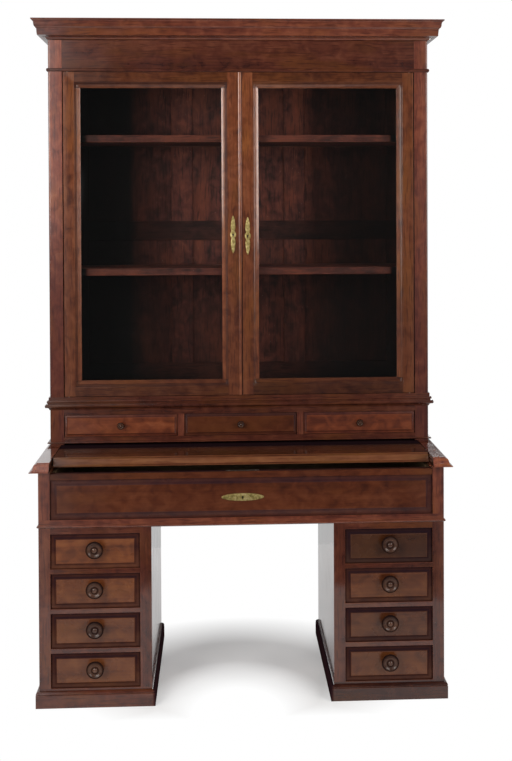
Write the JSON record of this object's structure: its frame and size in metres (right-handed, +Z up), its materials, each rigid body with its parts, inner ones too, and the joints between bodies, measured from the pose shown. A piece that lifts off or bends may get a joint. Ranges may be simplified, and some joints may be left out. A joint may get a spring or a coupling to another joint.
{
  "type": "secretary bookcase",
  "caption": "Mahogany secretary: a glazed bookcase set back on a pedestal desk with a sliding top, a wide drawer, knobbed drawers and a kneehole.",
  "frame": {"origin": "on the floor, under the middle of the whole piece's bounding box", "axes": "+Z up, +X to the right of a person who faces the front, +Y from the front to the back"},
  "size_m": [1.432, 0.64, 2.2811],
  "materials": {
    "mahogany": "polished red-brown mahogany",
    "drawer_mahogany": "polished lighter mahogany panels",
    "oak_lining": "dry unpolished oak",
    "brass": "worn yellow brass",
    "steel": "plain pin steel",
    "glass": "clear old pane glass"
  },
  "bodies": {
    "carcase": {"left_pedestal": "mahogany", "right_pedestal": "mahogany", "desk_frame": "mahogany", "bookcase_left_side": "mahogany", "bookcase_right_side": "mahogany", "bookcase_back": "mahogany", "bookcase_base": "mahogany", "upper_shelf": "mahogany", "lower_shelf": "mahogany", "frieze": "mahogany", "cornice": "mahogany", "left_door_lower_pin": "steel", "left_door_upper_pin": "steel", "right_door_lower_pin": "steel", "right_door_upper_pin": "steel"},
    "left_drawer_1": {"left_drawer_1_front": "drawer_mahogany", "left_drawer_1_box": "oak_lining", "left_drawer_1_knob": "mahogany"},
    "left_drawer_2": {"left_drawer_2_front": "drawer_mahogany", "left_drawer_2_box": "oak_lining", "left_drawer_2_knob": "mahogany"},
    "left_drawer_3": {"left_drawer_3_front": "drawer_mahogany", "left_drawer_3_box": "oak_lining", "left_drawer_3_knob": "mahogany"},
    "left_drawer_4": {"left_drawer_4_front": "drawer_mahogany", "left_drawer_4_box": "oak_lining", "left_drawer_4_knob": "mahogany"},
    "right_drawer_1": {"right_drawer_1_front": "drawer_mahogany", "right_drawer_1_box": "oak_lining", "right_drawer_1_knob": "mahogany"},
    "right_drawer_2": {"right_drawer_2_front": "drawer_mahogany", "right_drawer_2_box": "oak_lining", "right_drawer_2_knob": "mahogany"},
    "right_drawer_3": {"right_drawer_3_front": "drawer_mahogany", "right_drawer_3_box": "oak_lining", "right_drawer_3_knob": "mahogany"},
    "right_drawer_4": {"right_drawer_4_front": "drawer_mahogany", "right_drawer_4_box": "oak_lining", "right_drawer_4_knob": "mahogany"},
    "wide_drawer": {"wide_drawer_front": "mahogany", "wide_drawer_box": "oak_lining", "wide_drawer_escutcheon": "brass", "wide_drawer_lock": "brass"},
    "writing_slide": {"sliding_top": "mahogany"},
    "small_drawer_1": {"small_drawer_1_front": "drawer_mahogany", "small_drawer_1_box": "oak_lining", "small_drawer_1_knob": "mahogany"},
    "small_drawer_2": {"small_drawer_2_front": "drawer_mahogany", "small_drawer_2_box": "oak_lining", "small_drawer_2_knob": "mahogany"},
    "small_drawer_3": {"small_drawer_3_front": "drawer_mahogany", "small_drawer_3_box": "oak_lining", "small_drawer_3_knob": "mahogany"},
    "left_door": {"left_door_frame": "mahogany", "left_door_glass": "glass", "left_door_escutcheon": "brass"},
    "right_door": {"right_door_frame": "mahogany", "right_door_glass": "glass", "right_door_escutcheon": "brass"}
  },
  "joints": [
    {"name": "left_drawer_1_slide", "type": "slide", "parent": "carcase", "child": "left_drawer_1", "axis": [0, -1, 0], "range_m": [0, 0.38]},
    {"name": "left_drawer_2_slide", "type": "slide", "parent": "carcase", "child": "left_drawer_2", "axis": [0, -1, 0], "range_m": [0, 0.38]},
    {"name": "left_drawer_3_slide", "type": "slide", "parent": "carcase", "child": "left_drawer_3", "axis": [0, -1, 0], "range_m": [0, 0.38]},
    {"name": "left_drawer_4_slide", "type": "slide", "parent": "carcase", "child": "left_drawer_4", "axis": [0, -1, 0], "range_m": [0, 0.38]},
    {"name": "right_drawer_1_slide", "type": "slide", "parent": "carcase", "child": "right_drawer_1", "axis": [0, -1, 0], "range_m": [0, 0.38]},
    {"name": "right_drawer_2_slide", "type": "slide", "parent": "carcase", "child": "right_drawer_2", "axis": [0, -1, 0], "range_m": [0, 0.38]},
    {"name": "right_drawer_3_slide", "type": "slide", "parent": "carcase", "child": "right_drawer_3", "axis": [0, -1, 0], "range_m": [0, 0.38]},
    {"name": "right_drawer_4_slide", "type": "slide", "parent": "carcase", "child": "right_drawer_4", "axis": [0, -1, 0], "range_m": [0, 0.38]},
    {"name": "wide_drawer_slide", "type": "slide", "parent": "carcase", "child": "wide_drawer", "axis": [0, -1, 0], "range_m": [0, 0.34]},
    {"name": "sliding_top_slide", "type": "slide", "parent": "carcase", "child": "writing_slide", "axis": [0, 1, 0], "range_m": [-0.083, 0.169]},
    {"name": "small_drawer_1_slide", "type": "slide", "parent": "carcase", "child": "small_drawer_1", "axis": [0, -1, 0], "range_m": [0, 0.19]},
    {"name": "small_drawer_2_slide", "type": "slide", "parent": "carcase", "child": "small_drawer_2", "axis": [0, -1, 0], "range_m": [0, 0.19]},
    {"name": "small_drawer_3_slide", "type": "slide", "parent": "carcase", "child": "small_drawer_3", "axis": [0, -1, 0], "range_m": [0, 0.19]},
    {"name": "left_door_hinge", "type": "hinge", "parent": "carcase", "child": "left_door", "pos_m": [-0.5998, 0.0005, 0.9683], "axis": [0, 0, -1], "range_deg": [0, 115]},
    {"name": "right_door_hinge", "type": "hinge", "parent": "carcase", "child": "right_door", "pos_m": [0.5998, 0.0005, 0.9683], "axis": [0, 0, 1], "range_deg": [0, 115]}
  ]
}
